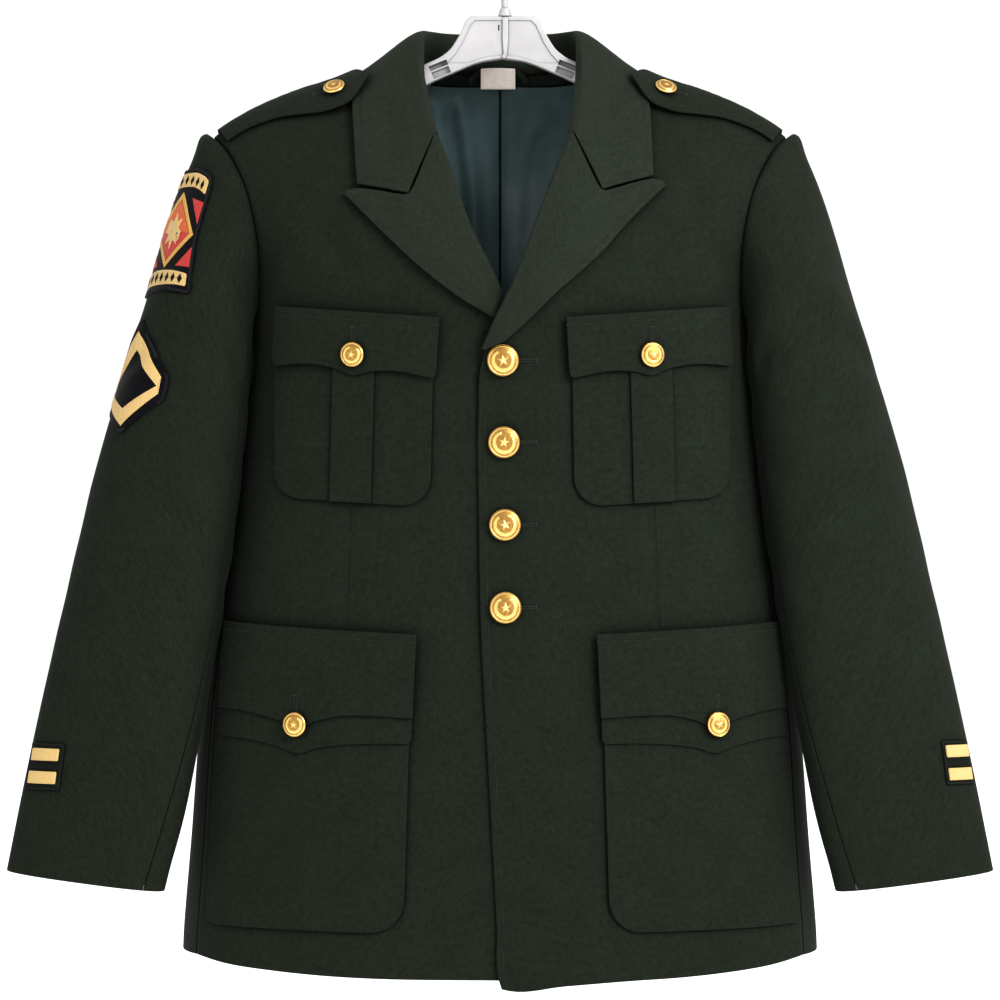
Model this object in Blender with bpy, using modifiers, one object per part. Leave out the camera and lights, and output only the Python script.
"""Military dress tunic on a plastic hanger, as one rigid object.

Frame: metres, +Z up, -Y towards the front, +X towards the left sleeve of whoever would wear it.
The origin is the top of the inside of the hanger's hook, where a rail would hold it.
Sizes below are millimetres, and "drop" is the distance below the origin. Every cut piece is a cloth
wall worked out from the body form, the armhole, the sleeve stations or the collar rows.
"""

import math

import bmesh
import bpy
import numpy as np
from mathutils import Vector

MM = 0.001
CLOTH = 1.8  # thickness of the coat cloth with its interlining
THIN = 1.0  # thickness of lining, label and embroidered badges
SEAM = 0.3  # gap that is left between two pieces at a seam
FRONT, BACK = -1, 1
RIGHT, LEFT = 1, -1  # sides as seen from the front: RIGHT is +X


def table(columns, *rows):
    """A short table of sizes, as one array for each named column."""
    return dict(zip(columns.split(), np.array(rows, float).T))


def smooth(at, keys, values):
    """A cubic curve through the values, held level past both ends."""
    slopes = np.gradient(values, keys)
    at = np.asarray(at, float)
    row = np.clip(np.searchsorted(keys, at) - 1, 0, len(keys) - 2)
    width = keys[row + 1] - keys[row]
    t = np.clip((at - keys[row]) / width, 0, 1)
    start = (1 + 2 * t) * (1 - t) ** 2 * values[row] + t * (1 - t) ** 2 * width * slopes[row]
    end = t * t * (3 - 2 * t) * values[row + 1] + t * t * (t - 1) * width * slopes[row + 1]
    return start + end


def course(points, count):
    """count + 1 evenly spaced places along a smooth line through the points."""
    points = np.array(points, float)
    steps = np.linalg.norm(np.diff(points, axis=0), axis=1)
    key = np.concatenate([[0], np.cumsum(steps)])
    at = np.linspace(0, key[-1], count + 1)
    return np.stack([smooth(at, key, column) for column in points.T], axis=1)


def ease(count, power=1.0):
    """Shares from 0 to 1, closer together at the start where power is over 1."""
    return np.linspace(0, 1, count + 1) ** power


def unit(vectors):
    return vectors / np.linalg.norm(vectors, axis=-1, keepdims=True)


# ---------------------------------------------------------------- the body form

BODY = table(
    "drop half_width front back",
    (100, 250, 92, 78),
    (196, 248, 104, 84),
    (250, 226, 109, 87),
    (300, 203, 112, 88),
    (352, 198.5, 112, 87),
    (408, 204, 110, 84),
    (486, 213, 107, 82),
    (565, 225.5, 108, 85),
    (643, 236.5, 110, 88),
    (756, 245.6, 112, 90),
    (840, 252.8, 114, 92),
    (870, 254.5, 114, 92),
)
ROUNDNESS = 2.4  # exponent of the level sections: 2 is an ellipse, more is squarer
NECK_X, NECK_DROP = 84.0, 141.0  # where the shoulder seam meets the collar
TIP_X, TIP_DROP = 229.0, 196.5  # where the shoulder seam meets the sleeve
NECK_DOME = 37.5  # height of a dome over the neck opening, from which depths there are taken
SHOULDER_RISE, RISE_POWER = 9.5, 1.5  # how far the shoulder line stands above a straight one, and its skew
FULL_AT = {FRONT: 200.0, BACK: 130.0}  # drop below the shoulder at which the form is full
FALL_POWER = {FRONT: 0.7, BACK: 0.55}
DEPTH_COLUMN = {FRONT: "front", BACK: "back"}
RIDGE_BLEND = 6.0  # drop over which normals turn up to the shoulder seam
EPS = 0.5


def half_width(drop):
    return smooth(drop, BODY["drop"], BODY["half_width"])


def shoulder_drop(x):
    """Drop of the shoulder line, and of its imagined course over the neck opening."""
    along = np.maximum((np.abs(x) - NECK_X) / (TIP_X - NECK_X), 0)
    inside = np.minimum(along, 1) ** RISE_POWER
    over_neck = NECK_DOME * np.maximum(1 - (x / NECK_X) ** 2, 0)
    return NECK_DROP + (TIP_DROP - NECK_DROP) * along - SHOULDER_RISE * 4 * inside * (1 - inside) - over_neck


def depth(x, drop, face):
    """How far the form stands forward or back of the shoulder line at its middle."""
    fall = np.clip((drop - shoulder_drop(x)) / FULL_AT[face], 0, 1)
    full = smooth(drop, BODY["drop"], BODY[DEPTH_COLUMN[face]])
    return full * (1 - (1 - fall) ** 2) ** FALL_POWER[face]


def skin(x, drop, face, out=0.0):
    """Points of the body form, moved out along its normal."""
    x, drop = np.broadcast_arrays(np.asarray(x, float), np.asarray(drop, float))
    width, deep = half_width(drop), depth(x, drop, face)
    across = np.clip(np.abs(x) / width, 0, 1)
    share = (1 - across**ROUNDNESS) ** (1 / ROUNDNESS)
    widening = (half_width(drop + EPS) - half_width(drop - EPS)) / (2 * EPS)
    deep_x = (depth(x + EPS, drop, face) - depth(x - EPS, drop, face)) / (2 * EPS)
    deep_drop = (depth(x, drop + EPS, face) - depth(x, drop - EPS, face)) / (2 * EPS)
    edge = deep * across ** (ROUNDNESS - 1) / width
    normal = np.stack(
        [
            np.sign(x) * edge - share**ROUNDNESS * deep_x,
            face * share ** (ROUNDNESS - 1),
            edge * across * widening + share**ROUNDNESS * deep_drop,
        ],
        axis=-1,
    )
    slope = (shoulder_drop(x + EPS) - shoulder_drop(x - EPS)) / (2 * EPS)
    up = unit(np.stack([slope, 0 * slope, 1 + 0 * slope], axis=-1))
    ridge = np.clip(1 - (drop - shoulder_drop(x)) / RIDGE_BLEND, 0, 1)[..., None] ** 2
    normal = unit(unit(normal) * (1 - ridge) + up * ridge)
    base = np.stack([x, face * deep * share, -drop], axis=-1)
    return base + normal * np.asarray(out, float)[..., None]


def flank(angle, drop, side, out=0.0):
    """Points round the side of the form: angle 0 is the side, positive angles are in front."""
    angle, drop = np.broadcast_arrays(np.asarray(angle, float), np.asarray(drop, float))
    x = side * half_width(drop) * np.cos(np.radians(angle)) ** (2 / ROUNDNESS)
    front = skin(x, drop, FRONT, out)
    return np.where((angle >= 0)[..., None], front, skin(x, drop, BACK, out))


def angle_at(x, drop):
    """The flank angle of a place on the form."""
    share = np.clip(np.abs(x) / half_width(drop), 0, 1)
    return np.degrees(np.arccos(share ** (ROUNDNESS / 2)))


# ---------------------------------------------------------------- making walls

SHELF = bpy.data.collections.new("military_dress_tunic")


def clear_scene():
    for thing in list(bpy.data.objects):
        bpy.data.objects.remove(thing, do_unlink=True)
    bpy.context.scene.collection.children.link(SHELF)


def finish(name, colour, roughness, metallic=0.0):
    material = bpy.data.materials.new(name)
    material.use_nodes = True
    shader = material.node_tree.nodes["Principled BSDF"]
    shader.inputs["Base Color"].default_value = (*colour, 1)
    shader.inputs["Roughness"].default_value = roughness
    shader.inputs["Metallic"].default_value = metallic
    return material


GREEN = finish("green_wool", (0.018, 0.024, 0.017), 0.85)
SATIN = finish("lining_satin", (0.025, 0.042, 0.048), 0.35)
GILT = finish("gilt_brass", (0.83, 0.54, 0.16), 0.25, 1.0)
THREAD = finish("gold_thread", (0.80, 0.52, 0.13), 0.6)
DARK = finish("dark_badge_felt", (0.012, 0.012, 0.018), 0.9)
PALE = finish("label_tape", (0.86, 0.74, 0.66), 0.8)
PLASTIC = finish("hanger_plastic", (0.78, 0.76, 0.76), 0.35)


def add(name, mesh, material, flat=False):
    mesh.materials.append(material)
    if not flat:
        mesh.shade_smooth()
        mesh.set_sharp_from_angle(angle=math.radians(40))
    piece = bpy.data.objects.new(name, mesh)
    SHELF.objects.link(piece)
    return piece


def wall(name, outer, inner, material):
    """A closed cloth wall between two grids of points."""
    rows, columns = outer.shape[:2]
    bm = bmesh.new()
    layers = []
    for grid in (outer, inner):
        layers.append([[bm.verts.new(point * MM) for point in row] for row in grid])
    for layer in layers:
        for i in range(rows - 1):
            for j in range(columns - 1):
                bm.faces.new((layer[i][j], layer[i][j + 1], layer[i + 1][j + 1], layer[i + 1][j]))
    rim = [(0, j) for j in range(columns)] + [(i, columns - 1) for i in range(1, rows)]
    rim += [(rows - 1, j) for j in range(columns - 2, -1, -1)] + [(i, 0) for i in range(rows - 2, 0, -1)]
    for (i, j), (k, m) in zip(rim, rim[1:] + rim[:1]):
        bm.faces.new((layers[0][i][j], layers[0][k][m], layers[1][k][m], layers[1][i][j]))
    bmesh.ops.recalc_face_normals(bm, faces=bm.faces)
    mesh = bpy.data.meshes.new(name)
    bm.to_mesh(mesh)
    bm.free()
    return add(name, mesh, material)


def grid_normals(grid):
    """Normals of a grid of points, from its own rows and columns."""
    along_rows = np.gradient(grid, axis=1)
    down_rows = np.gradient(grid, axis=0)
    return unit(np.cross(along_rows, down_rows))


def facing_out(grid, normals, centre):
    """The normals, all turned to point away from a line of centres, one for each row."""
    away = ((grid - centre) * normals).sum(axis=-1, keepdims=True)
    return np.where(away < 0, -normals, normals)


def coons(top, bottom, left, right):
    """A grid that fills four edge curves: rows run from top to bottom."""
    u = np.linspace(0, 1, len(top))[None, :, None]
    v = np.linspace(0, 1, len(left))[:, None, None]
    sides = (1 - v) * top + v * bottom + (1 - u) * left[:, None] + u * right[:, None]
    corners = (1 - u) * (1 - v) * top[0] + u * (1 - v) * top[-1]
    corners = corners + (1 - u) * v * bottom[0] + u * v * bottom[-1]
    return sides - corners


def under_shoulder(top, bottom, left, right):
    """The same for edges in x and drop, with drops taken from the shoulder line while it fills."""
    edges = [np.stack([edge[:, 0], edge[:, 1] - shoulder_drop(edge[:, 0])], axis=1) for edge in
             (top, bottom, left, right)]
    grid = coons(*edges)
    return grid[..., 0], np.maximum(grid[..., 1], 0) + shoulder_drop(grid[..., 0])


# ---------------------------------------------------------------- armhole

ARM = table(
    "drop front back",
    (196.5, 229, 229),
    (206, 219, 221),
    (220, 210, 214),
    (240, 200.5, 208),
    (265, 193.5, 203),
    (290, 189.6, 199),
    (312, 188.5, 195),
    (331, 189, 191.5),
)
ARM_BOTTOM = 352.0
ARM_SIDE = {FRONT: 8, BACK: 8}  # segments from the tip down to the side seams
ARM_UNDER = 6  # segments round the bottom, between the side seams


def armhole_edge(face):
    """(x, drop) from the shoulder tip to the side seam."""
    column = "front" if face == FRONT else "back"
    return course(np.stack([ARM[column], ARM["drop"]], axis=1), ARM_SIDE[face])


def armhole_under():
    """(angle, drop) round the bottom of the armhole, from the front seam to the back seam."""
    start = angle_at(armhole_edge(FRONT)[-1, 0], ARM["drop"][-1])
    end = -angle_at(armhole_edge(BACK)[-1, 0], ARM["drop"][-1])
    angle = np.linspace(start, end, ARM_UNDER + 1)
    share = np.where(angle > 0, angle / start, angle / end)
    return np.stack([angle, ARM_BOTTOM - (ARM_BOTTOM - ARM["drop"][-1]) * share**2], axis=1)


def armhole_ring(side, out=0.0):
    """Points round the whole armhole: tip, front, bottom, back, without the tip again."""
    front, back = armhole_edge(FRONT), armhole_edge(BACK)
    under = armhole_under()
    down = skin(side * front[:, 0], front[:, 1], FRONT, out)
    below = flank(under[:, 0], under[:, 1], side, out)[1:]
    up = skin(side * back[:, 0], back[:, 1], BACK, out)[::-1][1:-1]
    return np.concatenate([down, below, up])


# ---------------------------------------------------------------- body panels

HEM = table(  # the hem's drop at each distance from the centre of the front
    "x under over",
    (0, 854.6, 861.5),
    (50, 854.8, 859.0),
    (100, 854.6, 856.6),
    (140, 853.8, 855.4),
    (180, 851.8, 852.8),
    (215, 849.0, 849.4),
    (240, 845.0, 845.6),
    (255, 842.4, 843.0),
)
SIDE_SEAM = table("drop front back", (331, 19, -22), (500, 19, -24), (700, 20, -26), (870, 22, -28))
NECKLINE = {
    RIGHT: [(141, 84), (155, 74.5), (178, 62), (204, 53.4)],
    LEFT: [(141, 84), (155, 73), (178, 58.5), (205, 48)],
}
ROLL = {  # drop and x of the line on which each lapel turns back
    RIGHT: [(204, 53.4), (230.6, 42.4), (268, 27.6), (292, 18.4), (322.8, 7.6), (352, -4), (371.7, -11.5)],
    LEFT: [(205, 48), (219, 41.7), (245, 30.7), (278, 18), (311, 4.2), (328, -1.5), (346, -7)],
}
FRONT_EDGE = {
    RIGHT: [(384.6, -14.8), (419, -16.8), (505, -16.3), (592, -14.5), (678, -9.9), (814, -2.3), (861.5, 1.5)],
    LEFT: [(371, -15), (400, -20), (600, -21), (854.6, -21)],
}
ROLL_BACK = 1.0  # the panel stops this far short of the roll line, inside the fold
OVERLAP_LIFT = 2.6  # the buttoned front stands this far out over the other one
BREAK_LIFT = 7.6  # and this much more where both lapels cross
BREAK_DROP, BREAK_REACH = 335.0, 42.0
LIFT_FROM, LIFT_TO = 95.0, 30.0  # it rises between these distances from the centre
PANEL_COLUMNS = 8
ROWS_BELOW = 8


def lift(x, drop, side):
    """How far the buttoned front stands out from the form."""
    if side == LEFT:
        return 0 * np.asarray(x, float)
    near = np.clip((LIFT_FROM - x) / (LIFT_FROM - LIFT_TO), 0, 1)
    near = near * near * (3 - 2 * near)
    return near * (OVERLAP_LIFT + BREAK_LIFT * np.exp(-(((drop - BREAK_DROP) / BREAK_REACH) ** 2)))


def chest(x, drop, side, out=0.0):
    """Points of a front panel, where x counts from the centre towards that side."""
    x, drop = np.asarray(x, float), np.asarray(drop, float)
    return skin(side * x, drop, FRONT, out + lift(x, drop, side))


def hem_drop(x, side):
    return smooth(np.abs(x), HEM["x"], HEM["over" if side == RIGHT else "under"])


def seam_x(drop, face):
    column = "front" if face == FRONT else "back"
    angle = smooth(drop, SIDE_SEAM["drop"], SIDE_SEAM[column])
    return half_width(drop) * np.cos(np.radians(angle)) ** (2 / ROUNDNESS)


def side_edge(face, bottom, count):
    """(x, drop) of a side seam, from the armhole to the hem."""
    drop = np.linspace(ARM["drop"][-1], bottom, count + 1)
    x = seam_x(drop, face)
    first = armhole_edge(face)[-1, 0] - seam_x(ARM["drop"][-1], face)
    return np.stack([x + first * (1 - ease(count)) ** 8, drop], axis=1)


def front_panel(side):
    edge = NECKLINE[side][:-1] + ROLL[side] + FRONT_EDGE[side]
    keys, values = np.array(edge, float).T
    arm = armhole_edge(FRONT)
    bottom = hem_drop(half_width(840), side)
    outer = np.concatenate([arm, side_edge(FRONT, bottom, ROWS_BELOW)[1:]])
    outer[:, 0] -= SEAM / 2
    drop = np.concatenate([
        NECK_DROP + (ARM["drop"][-1] - NECK_DROP) * (arm[:, 1] - TIP_DROP) / (ARM["drop"][-1] - TIP_DROP),
        np.linspace(ARM["drop"][-1], hem_drop(values[-1], side), ROWS_BELOW + 1)[1:],
    ])
    inner = np.stack([smooth(drop, keys, values) + ROLL_BACK * (drop < 372), drop], axis=1)
    top = np.linspace(inner[0], outer[0], PANEL_COLUMNS + 1)
    top[:, 1] = shoulder_drop(top[:, 0])
    base = np.linspace(inner[-1], outer[-1], PANEL_COLUMNS + 1)
    base[1:-1, 1] = hem_drop(base[1:-1, 0], side)
    inner[0, 1], outer[0, 1] = shoulder_drop(inner[0, 0]), shoulder_drop(outer[0, 0])
    x, drop = under_shoulder(top, base, inner, outer)
    name = "front_right" if side == RIGHT else "front_left"
    wall(name, seam_gap(chest(x, drop, side)), seam_gap(chest(x, drop, side, -CLOTH)), GREEN)


def seam_gap(points):
    """Keeps the front pieces forward of the shoulder seam and the back pieces behind it."""
    points = points.copy()
    points[0, :, 1] += np.where(points[1, :, 1] < 0, -SEAM, SEAM) * (np.abs(points[0, :, 0]) > NECK_X - 2)
    return points


def side_panel(side):
    under = armhole_under()
    bottom = hem_drop(half_width(840), side)
    columns = len(under)
    front, back = side_edge(FRONT, bottom, ROWS_BELOW), side_edge(BACK, bottom, ROWS_BELOW)
    left = np.stack([angle_at(front[:, 0], front[:, 1]), front[:, 1]], axis=1)
    right = np.stack([-angle_at(back[:, 0], back[:, 1]), back[:, 1]], axis=1)
    base = np.linspace(left[-1], right[-1], columns)
    grid = coons(under, base, left, right)
    nudge = np.degrees(SEAM / 2 / 60)
    grid[:, 0, 0] -= 2.2 * nudge
    grid[:, -1, 0] += 2.2 * nudge
    grid[0, :, 1] += SEAM / 2
    angle, drop = grid[..., 0], grid[..., 1]
    name = "side_right" if side == RIGHT else "side_left"
    wall(name, flank(angle, drop, side), flank(angle, drop, side, -CLOTH), GREEN)


BACK_NECK = [(0, 141), (25, 141), (50, 141), (70, 141), (84, 141)]
NECK_COLUMNS = [0, 32, 60, 77, 84]


def back_panel(side):
    arm = armhole_edge(BACK)
    bottom = hem_drop(half_width(840), side)
    outer = np.concatenate([arm, side_edge(BACK, bottom, ROWS_BELOW)[1:]])
    outer[:, 0] -= SEAM / 2
    share = (outer[:, 1] - TIP_DROP) / (outer[-1, 1] - TIP_DROP)
    centre = np.stack([0 * share + SEAM / 2, 141 + (852 - 141) * share], axis=1)
    neck = np.stack([NECK_COLUMNS, np.interp(NECK_COLUMNS, *np.array(BACK_NECK, float).T)], axis=1)
    along = np.linspace(NECK_X, outer[0, 0], PANEL_COLUMNS + 2 - len(neck))[1:]
    top = np.concatenate([neck, np.stack([along, shoulder_drop(along)], axis=1)])
    top[0, 0] = SEAM / 2
    top[-1] = outer[0]
    base = np.linspace(centre[-1], outer[-1], PANEL_COLUMNS + 1)
    base[1:-1, 1] = np.minimum(hem_drop(base[1:-1, 0], LEFT), 852)
    outer[0, 1] = shoulder_drop(outer[0, 0])
    top[-1] = outer[0]
    x, drop = under_shoulder(top, base, centre, outer)
    name = "back_right" if side == RIGHT else "back_left"
    outside, inside = (skin(side * x, drop, BACK, out) for out in (0, -CLOTH))
    wall(name, seam_gap(outside), seam_gap(inside), GREEN)


# ---------------------------------------------------------------- sleeves

STATION = table(  # inner and outer folds of the sleeve, level by level, and half its thickness
    "at in_x in_y in_drop out_x out_y out_drop half",
    (1, 196.5, -40, 408, 294, -20, 379, 44),
    (2, 205.7, -46, 486.4, 318.4, -24, 462.5, 41),
    (3, 216.9, -52, 564.7, 338.0, -30, 545.7, 36),
    (4, 228.8, -58, 642.6, 356.2, -36, 625.9, 31),
    (5, 244.6, -64, 720.1, 372.6, -42, 703.3, 26),
    (6, 261.5, -70, 791.0, 386.5, -50, 776.5, 22),
)
LEAVING = table(  # direction and pull with which the sleeve leaves the armhole
    "turn x y z",
    (0, 75, 0, -15),
    (90, 46, -26, -52),
    (180, 26, -8, -6),
    (270, 50, 14, -62),
    (360, 75, 0, -15),
)
HEAD_PULL = 1.6  # pull of the tube on the sleeve head, in station steps
SLEEVE_SEAM = table(
    "at front back", (0, 152, 238), (1, 160, 250), (3, 166, 270), (4, 158, 280), (5, 148, 286), (6, 140, 292)
)
HEAD_ROPE, ROPE_AT, ROPE_REACH = 5.0, 0.11, 0.075  # the sleeve head's ridge beside the shoulder
ROPE_WAY = (0.5, 0.0, 0.87)
SLEEVE_ROWS = np.array([0, 0.06, 0.12, 0.2, 0.35, 0.52, 0.75, 1, 1.5, 2, 2.5, 3, 3.5, 4, 4.5, 5, 5.5, 6])
SLEEVE_POWER = 2.3
RING_COUNT = ARM_SIDE[FRONT] + ARM_UNDER + ARM_SIDE[BACK]
FRONT_SPLIT = ARM_SIDE[FRONT]  # ring place of the sleeve's front seam
BACK_SPLIT = ARM_SIDE[FRONT] + ARM_UNDER + 2
CLEAR_OF_BODY = 1.6


def tube(at, turn, side, out=0.0):
    """The sleeve below its head: turn 0 is the outer fold, 90 the front, 180 the inner fold."""
    row = {name: smooth(at, STATION["at"], STATION[name]) for name in STATION if name != "at"}
    inner = np.stack([row["in_x"], row["in_y"], -row["in_drop"]], axis=-1)
    outer = np.stack([row["out_x"], row["out_y"], -row["out_drop"]], axis=-1)
    across = unit(outer - inner)
    forward = np.stack([0 * row["half"], -1 + 0 * row["half"], 0 * row["half"]], axis=-1)
    forward = unit(forward - (forward * across).sum(axis=-1, keepdims=True) * across)
    angle = np.radians(turn)
    cos, sin = np.cos(angle), np.sin(angle)
    cos = np.sign(cos) * np.abs(cos) ** (2 / SLEEVE_POWER)
    sin = np.sign(sin) * np.abs(sin) ** (2 / SLEEVE_POWER)
    reach = np.linalg.norm(outer - inner, axis=-1) / 2
    points = (inner + outer) / 2 + across * (cos * reach)[..., None]
    points = points + forward * (sin * row["half"])[..., None]
    return points * (side, 1, 1)


def ring_turns(at):
    """The turn of every ring place on the levels at."""
    place = np.arange(RING_COUNT + 1)
    keys = [0, FRONT_SPLIT, BACK_SPLIT, RING_COUNT]
    front = smooth(at, SLEEVE_SEAM["at"], SLEEVE_SEAM["front"])
    back = smooth(at, SLEEVE_SEAM["at"], SLEEVE_SEAM["back"])
    return np.stack([np.interp(place, keys, [0, f, b, 360]) for f, b in zip(front, back)])


def sleeve_grid(side, rows=SLEEVE_ROWS):
    """Rows of points down the sleeve; each row goes once round and ends where it began."""
    ring = armhole_ring(side)
    ring = np.concatenate([ring, ring[:1]])
    first = ring_turns([0.0])[0]
    leave = np.stack([smooth(first, LEAVING["turn"], LEAVING[name]) for name in "xyz"], axis=1)
    leave = leave * (side, 1, 1)
    turns = ring_turns(np.maximum(rows, 1))
    at = np.broadcast_to(np.maximum(rows, 1)[:, None], turns.shape)
    grid = tube(at, turns, side)
    step = 0.02
    start, ahead = tube(np.ones_like(first), turns[0], side), tube(np.ones_like(first) + step, turns[0], side)
    pull = HEAD_PULL * (ahead - start) / step
    ring = ring + unit(leave) * 1.5 * SEAM
    rope = np.maximum(np.cos(np.radians(first)), 0)[:, None] ** 2 * np.array(ROPE_WAY) * (side, 1, 1) * HEAD_ROPE
    for i, t in enumerate(rows):
        if t < 1:
            grid[i] = (1 + 2 * t) * (1 - t) ** 2 * ring + t * (1 - t) ** 2 * leave
            grid[i] += t * t * (3 - 2 * t) * start + t * t * (t - 1) * pull
            grid[i] += rope * (math.exp(-(((t - ROPE_AT) / ROPE_REACH) ** 2)) * min(1, t / 0.04))
        grid[i] = clear_of_flank(grid[i], side, SEAM * 1.5 + CLEAR_OF_BODY * min(1, t / 0.5))
    return grid


def clear_of_flank(points, side, gap):
    """Points near the body's side, moved out in x until they are clear of it."""
    drop = -points[:, 2]
    front, back = (smooth(drop, BODY["drop"], BODY[name]) for name in ("front", "back"))
    face = np.where(points[:, 1] < 0, front, back)
    share = np.clip(np.abs(points[:, 1]) / face, 0, 1)
    edge = half_width(drop) * (1 - share**ROUNDNESS) ** (1 / ROUNDNESS) + gap
    beside = (share < 1) & (drop > ARM["drop"][-1])
    points = points.copy()
    points[:, 0] = side * np.where(beside, np.maximum(side * points[:, 0], edge), side * points[:, 0])
    return points


def sleeve(side):
    grid = sleeve_grid(side)
    closed = np.concatenate([grid[:, -2:-1], grid, grid[:, 1:2]], axis=1)
    centre = grid[:, :-1].mean(axis=1)[:, None]
    normals = facing_out(grid, grid_normals(closed)[:, 1:-1], centre)
    inside = grid - normals * CLOTH
    hand = "right" if side == RIGHT else "left"
    around = list(range(BACK_SPLIT, RING_COUNT)) + list(range(0, FRONT_SPLIT + 1))
    for name, places in (("top_sleeve", around), ("under_sleeve", list(range(FRONT_SPLIT, BACK_SPLIT + 1)))):
        outer, inner = grid[:, places].copy(), inside[:, places].copy()
        for end, beside in ((0, 1), (-1, -2)):
            step = unit(outer[:, beside] - outer[:, end]) * SEAM / 2 * 1.4
            outer[:, end] += step
            inner[:, end] += step
        wall(f"{name}_{hand}", outer, inner, GREEN)


# ---------------------------------------------------------------- lapels and collar

FOLD = 3.0  # radius of the cloth where a lapel or the collar turns back
FOLD_RISE = 0.2
LAPEL_EDGE = {  # x and drop from the peak's tip to the foot of the lapel
    RIGHT: [(127.6, 243.5), (99.2, 271.9), (75, 298.8), (40.5, 329.8), (18.3, 352), (3.5, 365)],
    LEFT: [(119.5, 251), (85.9, 284.7), (53.5, 314.4), (27.5, 333.7), (6, 346.5), (0, 350)],
}
GORGE = {  # x and drop of the gorge seam's corner, and of the peak's upper end
    RIGHT: [(77, 248.8), (124.5, 239.8)],
    LEFT: [(69.2, 251.8), (117, 247.6)],
}
LAPEL_LIFT = 4.0  # how far a lapel's middle stands off the chest
EDGE_LIFT = 3.2
GORGE_STEPS, PEAK_STEPS, LAPEL_ROWS = 4, 4, 10
FOLD_TURNS = np.radians([-65, -15, 35])


def lap_lift(share):
    """How far the turned-back cloth stands out, from its fold to its edge."""
    return FOLD_RISE + FOLD + (EDGE_LIFT + CLOTH - FOLD) * share + LAPEL_LIFT * 0.5 * np.sin(np.pi * share)


def folded(grid, side, lifted):
    """A turned-back piece: its fold, then its face, as points and the wall's other side."""
    x, drop = grid[..., 0], grid[..., 1]
    share = np.linspace(0, 1, grid.shape[1])[None, :]
    face = chest(x, drop, side, lifted(share) + 0 * x)
    under = chest(x, drop, side, lifted(share) + 0 * x - CLOTH)
    axis = chest(x[:, 0], drop[:, 0], side, FOLD_RISE + 0 * x[:, 0])
    out = unit(face[:, 0] - axis)
    down = np.gradient(axis, axis=0)
    towards = unit(np.cross(down, out))
    towards = np.where(towards[:, :1] * side > 0, -towards, towards)
    turned = [[axis + radius * (np.cos(a) * towards + np.sin(a) * out) for a in FOLD_TURNS]
              for radius in (FOLD, FOLD - CLOTH)]
    outer, inner = (np.stack(columns, axis=1) for columns in turned)
    return np.concatenate([outer, face], axis=1), np.concatenate([inner, under], axis=1)


def lapel(side):
    roll = course([(x, drop) for drop, x in ROLL[side]], LAPEL_ROWS)
    edge = course(LAPEL_EDGE[side], LAPEL_ROWS)
    gorge = course([roll[0], GORGE[side][0]], GORGE_STEPS)
    peak = np.concatenate([np.linspace(*GORGE[side], PEAK_STEPS), edge[:1]])
    peak[0] += (-0.8, 0.4)
    top = np.concatenate([gorge[:-1] + (-0.8, 0.5), peak + (0, 0.8)])
    foot = np.linspace(roll[-1], edge[-1], len(top))
    outer, inner = folded(coons(top, foot, roll, edge), side, lap_lift)
    wall("lapel_right" if side == RIGHT else "lapel_left", outer, inner, GREEN)


COLLAR = table(  # fold line and outer edge of the collar, from the gorge to the centre back
    "row fold_x fold_y fold_drop edge_x edge_y edge_drop corner",
    (0, 53.4, -82, 201.8, 118.1, -85, 236.5, 1.0),
    (1, 56.0, -75, 192.0, 117.9, -78, 220.0, 0.55),
    (2, 58.5, -64, 180.0, 117.6, -66, 200.0, 0.25),
    (3, 60.6, -50, 166.0, 117.3, -53, 182.0, 0.08),
    (4, 62.4, -30, 146.0, 117.4, -26, 161.0, 0.0),
    (5, 63.4, -8, 120.0, 117.4, 0, 147.0, 0.0),
    (6, 62.6, 10, 110.0, 114.0, 20, 153.0, 0.0),
    (7, 57.0, 32, 107.0, 98.0, 42, 160.0, 0.0),
    (8, 44.0, 48, 106.4, 70.0, 62, 164.0, 0.0),
    (9, 24.0, 57, 106.0, 36.0, 71, 167.0, 0.0),
    (10, 0.0, 60, 106.0, 0.0, 74, 168.0, 0.0),
)
FOOT_DROPS = [202.0, 193, 182, 168, 151]  # of the stand's foot on the front neckline, rows 0 to 4
FOOT_X = [82.6, 77, 63, 43, 22, 0]  # and on the back neckline, rows 5 to 10
FOOT_GAP = 1.8
LEFT_COLLAR = dict(edge_x=-8.5, edge_drop=7, fold_x=-5, fold_drop=1)  # the left leaf, against the right one
COLLAR_LIFT = 2.0  # least gap between the collar's fall and the body
FALL_STEPS = 8
STAND_STEPS = 3


def hermite(start, start_pull, end, end_pull, shares):
    t = shares[:, None]
    return ((1 + 2 * t) * (1 - t) ** 2 * start + t * (1 - t) ** 2 * start_pull
            + t * t * (3 - 2 * t) * end + t * t * (t - 1) * end_pull)


def body_samples():
    """Places and normals of the whole body form, close together."""
    spots, normals = [], []
    for face in (FRONT, BACK):
        x, fall = np.meshgrid(np.linspace(-150, 150, 101), ease(60, 1.6) * 150)
        drop = shoulder_drop(x) + fall
        wanted = (np.abs(x) > NECK_X) | (drop > NECK_DROP + 12)
        base, above = skin(x, drop, face), skin(x, drop, face, 1.0)
        spots.append(base[wanted])
        normals.append((above - base)[wanted])
    return np.concatenate(spots), np.concatenate(normals)


def stand_off(points, gap):
    """Points moved out along the body's normals until they are at least gap from it."""
    spots, normals = body_samples()
    flat = points.reshape(-1, 3).copy()
    for i, point in enumerate(flat):
        nearest = np.argmin(((spots - point) ** 2).sum(axis=1))
        height = (point - spots[nearest]) @ normals[nearest]
        if height < gap:
            flat[i] = point + normals[nearest] * (gap - height)
    return flat.reshape(points.shape)


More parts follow.
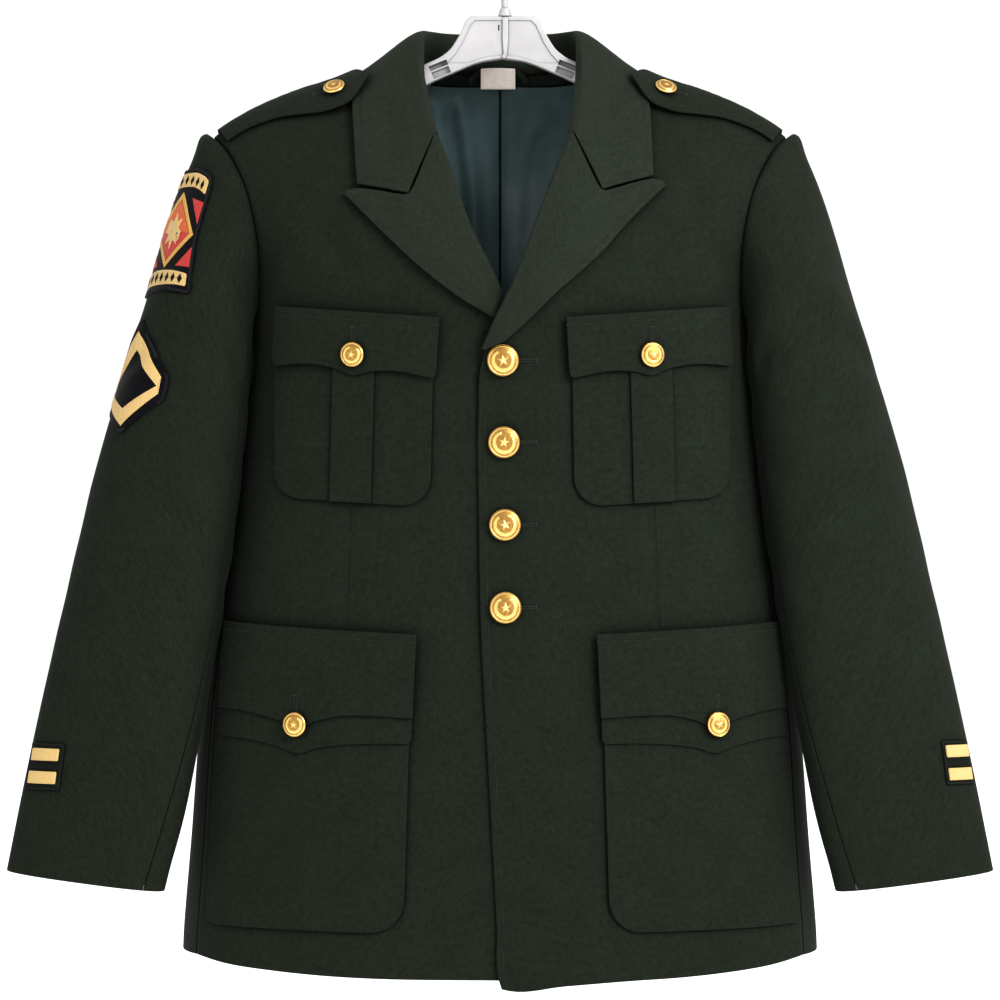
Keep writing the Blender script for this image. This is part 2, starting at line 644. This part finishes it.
def collar_rows(side, levels):
    """Fold, edge and corner share for one half of the collar."""
    row = {name: smooth(levels, COLLAR["row"], COLLAR[name]) for name in COLLAR if name != "row"}
    if side == LEFT:
        nearer = np.clip(1 - levels / 4, 0, 1)
        for name, change in LEFT_COLLAR.items():
            row[name] = row[name] + change * nearer
    fold, edge = (np.stack([side * row[name + "_x"], row[name + "_y"], -row[name + "_drop"]], axis=1)
                  for name in ("fold", "edge"))
    return fold, edge, row["corner"]


def collar_feet(side, levels):
    """Where the stand meets the neckline, and the way in which it leaves the body there."""
    front = np.array(NECKLINE[side], float)
    front_x = np.interp(FOOT_DROPS, front[:, 0], front[:, 1])
    back = np.array(BACK_NECK, float)
    x = np.concatenate([front_x, FOOT_X])
    drop = np.concatenate([FOOT_DROPS, np.interp(FOOT_X, back[:, 0], back[:, 1])])
    x, drop = (np.interp(levels, np.arange(11), values) for values in (x, drop))
    slope = np.stack([np.gradient(x), np.gradient(drop)], axis=1) * (1 if levels[0] < levels[-1] else -1)
    seats, leaves = [], []
    for i, level in enumerate(levels):
        face = FRONT if level < 5 else BACK
        inwards = unit(np.array([slope[i][1], -slope[i][0]]) * -face)
        if abs(level - 5) < 0.3:
            inwards = np.array([-1.0, -0.44])
        spots = []
        for step in (FOOT_GAP, FOOT_GAP + 1):
            at = np.array([x[i], drop[i]]) + inwards * step
            spots.append(skin(side * at[0], max(at[1], shoulder_drop(at[0])), face, -CLOTH))
        seats.append(spots[0])
        leaves.append(unit(spots[1] - spots[0]))
    return np.array(seats), np.array(leaves)


def collar_section(fold, edge, corner, side):
    """The fold of the collar and its fall, down to the fall's edge."""
    shares = ease(FALL_STEPS)
    in_front = fold[1] < -45
    up = unit(np.array([0.0, -1.0, 0.35]) if in_front else np.array([0.0, 0.2 * np.sign(fold[1]), 1.0]))
    towards = unit(np.array([-side, 0.0, 0.4]) if in_front else np.array([-fold[0], -fold[1], 0.0]))
    axis = fold - up * FOLD
    span = np.linalg.norm(edge - fold)
    fall = hermite(fold, -towards * span * 0.7, edge, (edge - fold) * 0.9, shares)
    if corner > 0:
        notch = np.array([side * GORGE[side][0][0], fold[1], -GORGE[side][0][1]])
        bent = [np.interp(shares, [0, 0.5, 1], along) for along in np.stack([fold, notch, edge], axis=1)]
        fall = fall + corner * (np.stack(bent, axis=1) - fall)
    bend = [axis + FOLD * (np.cos(a) * towards + np.sin(a) * up) for a in np.radians([0, 45])]
    return np.concatenate([bend, fall]), up


def collar_grid(levels):
    """Both sides of the collar's wall, from the right gorge round the neck to the left one."""
    sections, lying = [], []
    for side, order in ((RIGHT, levels), (LEFT, levels[::-1][1:])):
        fold, edge, corner = collar_rows(side, order)
        seats, leaves = collar_feet(side, order)
        for i in range(len(order)):
            section, up = collar_section(fold[i], edge[i], corner[i], side)
            fall = section[2:]
            under = np.full_like(section, np.nan)
            if fold[i][1] < -45:
                lifted = lap_lift(ease(FALL_STEPS))
                section[:2, 1] += chest(abs(fold[i][0]), -fold[i][2], side, lifted[0])[1] - fold[i][1]
                section[2:], under[2:] = (
                    chest(np.abs(fall[:, 0]), -fall[:, 2], side, lifted - thick) for thick in (0, CLOTH))
            else:
                section[2:] = stand_off(fall, COLLAR_LIFT + CLOTH)
            reach = np.linalg.norm(section[0] - seats[i])
            stand = hermite(seats[i], leaves[i] * reach * 0.7, section[0], up * reach * 0.8, ease(STAND_STEPS))
            sections.append(np.concatenate([stand[:-1], section]))
            lying.append(np.concatenate([stand[:-1] + np.nan, under]))
    grid, under = np.stack(sections), np.stack(lying)
    normals = grid_normals(grid)
    if normals[len(levels) - 1, -1, 1] < 0:
        normals = -normals
    return grid, np.where(np.isnan(under), grid - normals * CLOTH, under)


def collar():
    wall("collar", *collar_grid(np.arange(0, 10.01, 1.0)), GREEN)


# ---------------------------------------------------------------- pockets

LAYER = 1.4  # thickness of a pocket's own cloth
LAY = 0.6  # gap between two laid layers
BAG_OUT = 1.0 + LAYER
PLEAT_OUT = BAG_OUT + LAY + LAYER
FLAP_OUT = PLEAT_OUT + LAY + LAYER
BREAST_SHIFT = {RIGHT: 1.8, LEFT: -1.8}
LOWER_SHIFT = {RIGHT: 5.0, LEFT: -5.0}
BREAST_FLAP = dict(
    top=[(47.6, 346.5), (113, 341.5), (178.6, 336)], inner_foot=(51.8, 393.6), outer_foot=(180, 382.5))
BREAST_DIPS = table(
    "share dip", (0, 0), (0.28, -3.2), (0.42, -0.6), (0.5, 2.8), (0.58, -0.8), (0.74, -3.6), (1, 0))
BREAST_BAG = dict(inner=(52.6, 54.6), outer=(176.6, 176.6), top=(372, 364), foot=(490.8, 485.6), corner=22.0)
PLEAT = dict(inner=(97, 100.4), outer=(129.4, 132.4), top=(376, 374), foot=(489.2, 487.4))
LOWER_FLAP = dict(
    top=[(68.5, 589.5), (140, 586), (217, 581.5)], inner_foot=(73.4, 654), outer_foot=(222, 648.2))
LOWER_DIPS = table(
    "share dip", (0, 0), (0.2, -0.6), (0.38, 1.0), (0.5, 6.2), (0.585, 12.2), (0.67, 7.2), (0.8, 2.4), (1, 0))
UNDER_FLAP = dict(top=[(70.5, 612), (140, 609), (219, 605)], inner_foot=(74.8, 673.6), outer_foot=(222.5, 669.8))
UNDER_DIPS = table(
    "share dip", (0, 0), (0.2, 0.6), (0.38, 3.0), (0.5, 6.4), (0.58, 10.6), (0.66, 7.0), (0.78, 3.0), (1, 0))
LOWER_BAG = dict(inner=(72.5, 78), outer=(222, 233), top=(606, 600), foot=(818, 817), corner=26.0)


def laid_on(name, side, shift, grid, out, thickness, material=GREEN):
    """A piece that lies on a front panel, made from the panel's points moved out."""
    x, drop = grid[..., 0] + shift[side], grid[..., 1]
    x = np.minimum(x, seam_x(drop, FRONT) - 4.5)
    outer, inner = chest(x, drop, side, out + 0 * x), chest(x, drop, side, out - thickness + 0 * x)
    wall(f"{name}_{'right' if side == RIGHT else 'left'}", outer, inner, material)


def flap_grid(shape, dips, columns=14, rows=3):
    """A flap: a straight top, slanted sides and a scalloped lower edge."""
    top = course(shape["top"], columns)
    foot = np.linspace(shape["inner_foot"], shape["outer_foot"], columns + 1)
    foot[:, 1] += smooth(np.linspace(0, 1, columns + 1), dips["share"], dips["dip"])
    left, right = np.linspace(top[0], foot[0], rows + 1), np.linspace(top[-1], foot[-1], rows + 1)
    return coons(top, foot, left, right)


def bag_grid(shape, columns=8, rows=7):
    """A patch pocket with two rounded lower corners, which its grid's corners halve."""
    radius = shape["corner"]
    half = radius * (1 - math.cos(math.radians(45)))
    (in_top, in_foot), (out_top, out_foot) = shape["inner"], shape["outer"]
    (top_in, top_out), (foot_in, foot_out) = shape["top"], shape["foot"]
    in_corner = (in_foot + half, foot_in - half)
    out_corner = (out_foot - half, foot_out - half)
    top = np.linspace((in_top, top_in), (out_top, top_out), columns + 1)
    left = course([(in_top, top_in), (in_foot, foot_in - radius), (in_foot + half / 4, foot_in - radius * 0.6),
                   in_corner], rows)
    right = course([(out_top, top_out), (out_foot, foot_out - radius),
                    (out_foot - half / 4, foot_out - radius * 0.6), out_corner], rows)
    foot = [(in_foot + radius * 0.6, foot_in - half / 4), (in_foot + radius, foot_in),
            (out_foot - radius, foot_out), (out_foot - radius * 0.6, foot_out - half / 4)]
    base = course([in_corner, *foot, out_corner], columns)
    return coons(top, base, left, right)


def pockets(side):
    laid_on("breast_pocket", side, BREAST_SHIFT, bag_grid(BREAST_BAG), BAG_OUT, LAYER)
    corners = [PLEAT["inner"][0], PLEAT["top"][0]], [PLEAT["outer"][0], PLEAT["top"][1]]
    feet = [PLEAT["inner"][1], PLEAT["foot"][0]], [PLEAT["outer"][1], PLEAT["foot"][1]]
    rows, columns = 6, 3
    strip = coons(np.linspace(*corners, columns + 1), np.linspace(*feet, columns + 1),
                  np.linspace(corners[0], feet[0], rows + 1), np.linspace(corners[1], feet[1], rows + 1))
    laid_on("breast_pleat", side, BREAST_SHIFT, strip, PLEAT_OUT, LAYER)
    laid_on("breast_flap", side, BREAST_SHIFT, flap_grid(BREAST_FLAP, BREAST_DIPS), FLAP_OUT, LAYER)
    laid_on("lower_pocket", side, LOWER_SHIFT, bag_grid(LOWER_BAG, 10, 9), BAG_OUT, LAYER)
    laid_on("lower_under_flap", side, LOWER_SHIFT, flap_grid(UNDER_FLAP, UNDER_DIPS), PLEAT_OUT, LAYER)
    laid_on("lower_flap", side, LOWER_SHIFT, flap_grid(LOWER_FLAP, LOWER_DIPS), FLAP_OUT, LAYER)


# ---------------------------------------------------------------- epaulettes

STRAP = table(  # edges of the shoulder strap, by arc from the shoulder line: negative is in front
    "x front back out",
    (102, -25, -22, 11.6),
    (114, -43, -4, 8.4),
    (131, -46, 0, 5.2),
    (159, -38, 8, 3.9),
    (176, -31, 14, 3.3),
    (193, -27, 18, 3.2),
    (210, -24, 22, 3.2),
    (225, -23, 24, 3.3),
)
STRAP_THICK = 1.8
STRAP_SLANT, SLANT_FROM = 9.0, 185.0  # the strap's end runs along the armhole in front
STRAP_COLUMNS = np.array([102, 108, 114, 122, 131, 145, 159, 176, 193, 210, 224.5])


def over_shoulder(x, along, out):
    """A place on the shoulders, by x and its arc from the shoulder line: negative is in front."""
    falls = 80 * ease(160, 2.0)
    points = np.empty((*np.shape(along), 3))
    for place, arc in np.ndenumerate(along):
        face = FRONT if arc < 0 else BACK
        drop = shoulder_drop(x[place]) + falls
        y = skin(x[place] + 0 * drop, drop, face)[:, 1]
        walked = np.concatenate([[0], np.cumsum(np.hypot(np.diff(y), np.diff(drop)))])
        points[place] = skin(x[place], np.interp(abs(arc), walked, drop), face, out[place])
    return points


def epaulette(side):
    share = np.linspace(0, 1, 7)[None, :]
    front, back, out = (
        smooth(STRAP_COLUMNS, STRAP["x"], STRAP[name])[:, None] for name in ("front", "back", "out"))
    along, out = front + (back - front) * share, out + 0 * share
    for row in along:
        if row[-1] > 4:
            row[np.argmin(np.abs(row))] = 0
    end = np.clip((STRAP_COLUMNS - SLANT_FROM) / (STRAP_COLUMNS[-1] - SLANT_FROM), 0, 1)[:, None]
    x = STRAP_COLUMNS[:, None] - STRAP_SLANT * end * np.clip(along / STRAP["front"][-1], 0, 1)
    outer, inner = (over_shoulder(x, along, level) * (side, 1, 1) for level in (out, out - STRAP_THICK))
    wall("epaulette_right" if side == RIGHT else "epaulette_left", outer, inner, GREEN)


# ---------------------------------------------------------------- buttons

FRONT_BUTTONS = [(2.3, 379.5), (3.1, 442), (3.8, 505.5), (4.2, 569)]
LARGE, SMALL = 12.0, 9.3  # button radii
BUTTON_GAP = 0.5
BREAST_BUTTON, LOWER_BUTTON = (112.8, 374.7), (160.4, 659.5)
STRAP_BUTTON = (130, -23)
SHANK_RADIUS, SHANK_TOP = 3.0, 1.3
BUTTON_STEPS = 14


def button(name, seat, normal, radius):
    """A domed metal button on its shank, turned about its own axis and set square to the cloth."""
    profile = [(0, 0.42), (0.4, 0.40), (0.75, 0.31), (0.93, 0.2), (1.0, 0.12), (0.95, 0.05)]
    points = [(r * radius, SHANK_TOP + h * radius * 0.85) for r, h in profile]
    points += [(SHANK_RADIUS, SHANK_TOP), (SHANK_RADIUS, 0), (0, 0)]
    mesh = bpy.data.meshes.new(name)
    mesh.from_pydata([(r * MM, 0, h * MM) for r, h in points], [(i, i + 1) for i in range(len(points) - 1)], [])
    piece = add(name, mesh, GILT, flat=True)
    turn = piece.modifiers.new("turned", "SCREW")
    turn.steps = turn.render_steps = BUTTON_STEPS
    turn.use_merge_vertices = True
    turn.merge_threshold = 0.00001
    turn.use_smooth_shade = True
    piece.location = [value * MM for value in seat]
    piece.rotation_mode = "QUATERNION"
    piece.rotation_quaternion = Vector(normal).to_track_quat("Z", "Y")


def seat_on(points_at, *place):
    """The seat and the normal of a button, just off the cloth's outer side."""
    low, high = points_at(*place, 0.0), points_at(*place, 1.0)
    normal = unit(high - low)
    return low + normal * BUTTON_GAP, normal


def buttons():
    for number, (x, drop) in enumerate(FRONT_BUTTONS, 1):
        button(f"front_button_{number}", *seat_on(lambda a, b, out: chest(a, b, RIGHT, out), x, drop), LARGE)
    for side in (RIGHT, LEFT):
        hand = "right" if side == RIGHT else "left"
        for name, (x, drop), shift in (
            ("breast_button", BREAST_BUTTON, BREAST_SHIFT), ("lower_button", LOWER_BUTTON, LOWER_SHIFT)
        ):
            on_flap = lambda a, b, out: chest(a, b, side, FLAP_OUT + out)
            button(f"{name}_{hand}", *seat_on(on_flap, x + shift[side], drop), SMALL)
        height = float(smooth(STRAP_BUTTON[0], STRAP["x"], STRAP["out"]))
        on_strap = lambda a, b, out: over_shoulder(
            np.array([a]), np.array([b]), np.array([height + out]))[0] * (side, 1, 1)
        button(f"shoulder_button_{hand}", *seat_on(on_strap, *STRAP_BUTTON), SMALL * 0.93)


# ---------------------------------------------------------------- inside the neck

FACING_OUT, FACING_THICK = -(CLOTH + 1.2), 1.2
FACING_FOOT = [(-58, 148.4), (-40, 149), (0, 149.2), (40, 149), (58, 148.4)]
FACING_NECK = [(-58, 138), (-40, 140.2), (0, 142), (40, 140.2), (58, 138)]
LOOP_OUT, LOOP_THICK, LOOP_WIDTH = FACING_OUT - FACING_THICK - 0.9, 1.5, 4.6
LOOP_PATH = [(-26.2, 146.6), (-22, 141.5), (-15, 138.6), (0, 137.8), (12, 138.2), (18.5, 141.5), (22.6, 147)]
LABEL_OUT = LOOP_OUT - LOOP_THICK - 0.9
LABEL_X, LABEL_TOP, LABEL_FOOT = (-16.4, 13.0), 134.2, 150.0
LINING_OUT, LINING_FOOT, LINING_SIDE = -(CLOTH + 1.4), 430.0, 158.0


def inside_back(x, drop, out):
    """Points at x and drop on a surface inside the back's own, which leans in towards the neck."""
    x, drop = np.asarray(x, float), np.asarray(drop, float)
    at = drop.copy()
    for _ in range(8):
        at = np.maximum(at + drop + skin(x, at, BACK, out + 0 * x)[..., 2], shoulder_drop(x) + 6)
    return skin(x, at, BACK, out + 0 * x)


def neck_pieces():
    columns = 12
    neck, foot = course(FACING_NECK, columns), course(FACING_FOOT, columns)
    facing = coons(neck, foot, np.linspace(neck[0], foot[0], 3), np.linspace(neck[-1], foot[-1], 3))
    layers = (inside_back(facing[..., 0], facing[..., 1], FACING_OUT - thick) for thick in (0, FACING_THICK))
    wall("neck_facing", *layers, GREEN)
    path = course(LOOP_PATH, 16)
    beside = unit(np.gradient(path, axis=0)[:, ::-1] * (-1, 1)) * LOOP_WIDTH / 2
    strip = np.stack([path - beside, path + beside], axis=1)
    layers = (inside_back(strip[..., 0], strip[..., 1], LOOP_OUT - thick) for thick in (0, LOOP_THICK))
    wall("hanging_loop", *layers, GREEN)
    x, drop = np.meshgrid(np.linspace(*LABEL_X, 5), np.linspace(LABEL_TOP, LABEL_FOOT, 5))
    wall("neck_label", *(inside_back(x, drop, LABEL_OUT - thick) for thick in (0, THIN)), PALE)


def lining(side):
    seam = 2 * SEAM
    shoulder = [(x, float(shoulder_drop(x)) + 9) for x in (100, 130, 160, 184)]
    top = course([(seam, 150.2), (54, 150.1), (77, 147), *shoulder], 9)
    side_line = course([shoulder[-1], (174, 240), (163, 300), (LINING_SIDE, LINING_FOOT)], 9)
    centre = np.linspace((seam, 150.2), (seam, LINING_FOOT), 10)
    grid = coons(top, np.linspace(centre[-1], side_line[-1], 10), centre, side_line)
    x, drop = side * grid[..., 0], grid[..., 1]
    name = "lining_right" if side == RIGHT else "lining_left"
    out = LINING_OUT - 5.0 * np.exp(-(drop - shoulder_drop(x)) / 30)
    wall(name, *(skin(x, drop, BACK, out - thick) for thick in (0, THIN)), SATIN)


# ---------------------------------------------------------------- badges and cuff bars

BADGE_OUT, CUFF_OUT = 3.5, 2.5
FINE = np.linspace(0, 6, 61)


def on_sleeve(side, drops, arcs, out):
    """Places on a sleeve by the drop of its outer fold and the arc forward of that."""
    levels = np.interp(drops, -sleeve_grid(side, FINE)[:, 0, 2], FINE)
    wide = sleeve_grid(side, levels)
    ahead = sleeve_grid(side, levels + 0.03)
    points = np.empty((*arcs.shape, 3))
    for i, ring in enumerate(wide):
        ring = ring[:-1]
        half = len(ring) // 2
        line = np.concatenate([ring[-half:], ring[:half]])
        walked = np.concatenate([[0], np.cumsum(np.linalg.norm(np.diff(line, axis=0), axis=1))])
        walked -= walked[half]
        centre = ring.mean(axis=0)
        ring_ahead = np.concatenate([ahead[i][:-1][-half:], ahead[i][:-1][:half]])
        normals = unit(np.cross(np.gradient(line, axis=0), ring_ahead - line))
        normals = np.where(((line - centre) * normals).sum(axis=1, keepdims=True) < 0, -normals, normals)
        spot = np.stack([np.interp(arcs[i], walked, column) for column in line.T], axis=1)
        normal = unit(np.stack([np.interp(arcs[i], walked, column) for column in normals.T], axis=1))
        points[i] = spot + normal * out
    return points


def badge(name, side, place, outline, material, out=BADGE_OUT, thick=THIN, columns=8):
    """A stiff badge on a sleeve. Its outline is a table of places down it, and of its reach to both sides."""
    origin, across, down = (np.array(values) for values in place)
    reach = (outline["front"] - outline["back"])[:, None] * np.linspace(0, 1, columns + 1)
    u = outline["back"][:, None] + reach
    spots = origin + u[..., None] * across + outline["v"][:, None, None] * down
    arcs, drops = spots[..., 0].reshape(-1, 1), spots[..., 1].ravel()
    layers = (on_sleeve(side, drops, arcs, level).reshape(*u.shape, 3) for level in (out, out - thick))
    wall(name, *layers, material)


# Where a badge's origin lies on the sleeve, and the ways across it and down it, as (arc, drop).
TILTED = (0.91, -0.41), (0.30, 0.95)
SHOULDER_PLACE = (9.65, 223.85), *TILTED
RANK_PLACE = (43.7, 431.0), (0.975, -0.22), (0.155, 0.985)
CUFF_TILT = (0.99, -0.12), (0.04, 1.0)
CUFF_PLACE = {RIGHT: ((12.5, 674.5), *CUFF_TILT), LEFT: ((11.5, 676.5), *CUFF_TILT)}
SHOULDER_BADGE = table(
    "v back front",
    (-3, -14, 14), (0, -33, 33), (10, -36, 36), (22, -36.3, 36.3), (35, -36.9, 36.9), (48, -37.5, 37.5),
    (60, -38.4, 38.4), (70, -39, 39), (80, -39, 39), (89, -38.3, 38.3), (97, -32, 32),
)
RANK_BADGE = table(
    "v back front",
    (-90.5, -2, 2), (-83.5, -6.6, 6.6), (-76.5, -11.3, 11.3), (-62.5, -23.3, 23.3), (-52, -31, 31),
    (-43.4, -37, 37), (-34, -37.2, 37.2), (-24.6, -35.4, 35.4), (-12, -18, 18), (-1, -2, 2),
)
CUFF_BACKING = {
    RIGHT: table("v back front", (0, 0, 27), (17, 0, 27), (33.5, 0, 27)),
    LEFT: table("v back front", (0, 0, 34), (18, 0, 34), (36, 0, 34)),
}
CUFF_BARS = {RIGHT: (3.4, 12.7, 2.4, 24.6), LEFT: (4.2, 13.6, 4.6, 30.2)}
BAR_PITCH, BAR_STEP = 17.6, 1.6


def badges():
    badge("shoulder_badge", LEFT, SHOULDER_PLACE, SHOULDER_BADGE, DARK, columns=14)
    badge("rank_badge", LEFT, RANK_PLACE, RANK_BADGE, DARK, columns=12)
    for side in (RIGHT, LEFT):
        hand = "right" if side == RIGHT else "left"
        badge(f"cuff_backing_{hand}", side, CUFF_PLACE[side], CUFF_BACKING[side], GREEN, CUFF_OUT, columns=5)
        start, end, back, front = CUFF_BARS[side]
        for number in (1, 2):
            lower = (number - 1) * BAR_PITCH
            bar = table("v back front", (start + lower, back, front), (end + lower, back, front))
            badge(f"cuff_bar_{hand}_{number}", side, CUFF_PLACE[side], bar, THREAD, CUFF_OUT + BAR_STEP, 0.8, 5)


# ---------------------------------------------------------------- hanger

HANGER_X = 2.4
HANGER_HALF_THICK = 4.5
HANGER_TOP = [(0, 100), (26, 100), (30, 103.5), (32, 109), (37.8, 120), (42.4, 126.5), (48.5, 131.5),
              (63, 138.5), (66.5, 141), (69, 147.5), (80, 151)]
HANGER_ARCH = [(61, 154.8), (38.5, 144.6), (18, 136.5), (0, 133.6)]
ARM_CLEAR, ARM_HEIGHT, ARM_END = 8.6, 17.0, 200.0
WINDOW = dict(x=51.0, drop=142.6, size=(15.0, 12.0), tilt=27.0, deep=3.0)
HOOK_WIRE, HOOK_RADIUS = 2.6, 22.0
HOOK_STEM = [(4.0, -92.5), (4.0, -72), (6.5, -60), (14, -49)]
SOCKET = [(0, 6.6), (4.2, 6.6), (5.6, 0), (0, 0)]


def hanger_outline():
    arms = [(x, float(shoulder_drop(x)) + ARM_CLEAR) for x in (100, 120, 140, 160, 180, 195)]
    end = [(ARM_END, arms[-1][1] + 6), (ARM_END, arms[-1][1] + 14), (ARM_END - 6, arms[-1][1] + 18)]
    under = [(x, drop + ARM_HEIGHT) for x, drop in arms[-2::-1]]
    half = HANGER_TOP + arms + end + under + [(80, 167)] + HANGER_ARCH
    return half + [(-x, drop) for x, drop in half[-2:0:-1]]


def hanger():
    curve = bpy.data.curves.new("hanger", "CURVE")
    curve.dimensions = "2D"
    curve.fill_mode = "BOTH"
    curve.extrude = HANGER_HALF_THICK * MM
    outline = hanger_outline()
    spline = curve.splines.new("POLY")
    spline.points.add(len(outline) - 1)
    for point, (x, drop) in zip(spline.points, outline):
        point.co = ((x + HANGER_X) * MM, -drop * MM, 0, 1)
    spline.use_cyclic_u = True
    flat = bpy.data.objects.new("hanger_outline", curve)
    SHELF.objects.link(flat)
    flat.rotation_euler.x = math.radians(90)
    bpy.context.view_layer.update()
    mesh = bpy.data.meshes.new_from_object(flat.evaluated_get(bpy.context.evaluated_depsgraph_get()))
    mesh.transform(flat.matrix_world)
    bpy.data.objects.remove(flat)
    bm = bmesh.new()
    bm.from_mesh(mesh)
    bmesh.ops.remove_doubles(bm, verts=bm.verts, dist=1e-6)
    bmesh.ops.recalc_face_normals(bm, faces=bm.faces)
    bm.to_mesh(mesh)
    bm.free()
    piece = add("hanger", mesh, PLASTIC, flat=True)
    cutters = bpy.data.collections.new("cutters")
    bpy.context.scene.collection.children.link(cutters)
    for side in (RIGHT, LEFT):
        bpy.ops.mesh.primitive_cube_add(size=1)
        cutter = bpy.context.object
        cutter.name = "window_cutter_" + ("right" if side == RIGHT else "left")
        cutter.scale = (WINDOW["size"][0] * MM, 2 * WINDOW["deep"] * MM, WINDOW["size"][1] * MM)
        cutter.rotation_euler.y = math.radians(side * WINDOW["tilt"])
        cutter.location = ((side * WINDOW["x"] + HANGER_X) * MM, -HANGER_HALF_THICK * MM, -WINDOW["drop"] * MM)
        for old in cutter.users_collection:
            old.objects.unlink(cutter)
        cutters.objects.link(cutter)
        cutter.hide_render = True
        cutter.display_type = "WIRE"
        cut = piece.modifiers.new("window", "BOOLEAN")
        cut.object = cutter
        cut.operation = "DIFFERENCE"


def hook():
    """A wire hook whose inside top is the origin, on a turned socket."""
    turn = np.radians(np.linspace(-40, 205, 18))
    centre = -HOOK_RADIUS
    radius = HOOK_RADIUS + HOOK_WIRE
    path = course(HOOK_STEM + [(radius * math.cos(a), centre + radius * math.sin(a)) for a in turn], 44)
    curve = bpy.data.curves.new("hanger_hook", "CURVE")
    curve.dimensions = "3D"
    curve.bevel_depth = HOOK_WIRE * MM
    curve.bevel_resolution = 2
    curve.use_fill_caps = True
    spline = curve.splines.new("POLY")
    spline.points.add(len(path) - 1)
    for point, (x, z) in zip(spline.points, path):
        point.co = (x * MM, 0, z * MM, 1)
    piece = bpy.data.objects.new("hanger_hook", curve)
    piece.data.materials.append(PLASTIC)
    SHELF.objects.link(piece)
    weld = piece.modifiers.new("caps", "WELD")
    weld.merge_threshold = 0.00001
    mesh = bpy.data.meshes.new("hook_socket")
    mesh.from_pydata([(r * MM, 0, h * MM) for r, h in SOCKET], [(0, 1), (1, 2), (2, 3)], [])
    socket = add("hook_socket", mesh, PLASTIC, flat=True)
    socket.location = (HOOK_STEM[0][0] * MM, 0, (-100 + SEAM) * MM)
    spin = socket.modifiers.new("turned", "SCREW")
    spin.steps = spin.render_steps = BUTTON_STEPS
    spin.use_merge_vertices = True
    spin.merge_threshold = 0.00001


def main():
    clear_scene()
    for side in (RIGHT, LEFT):
        front_panel(side)
        side_panel(side)
        back_panel(side)
        sleeve(side)
        lapel(side)
        pockets(side)
        epaulette(side)
        lining(side)
    collar()
    buttons()
    neck_pieces()
    badges()
    hanger()
    hook()


main()
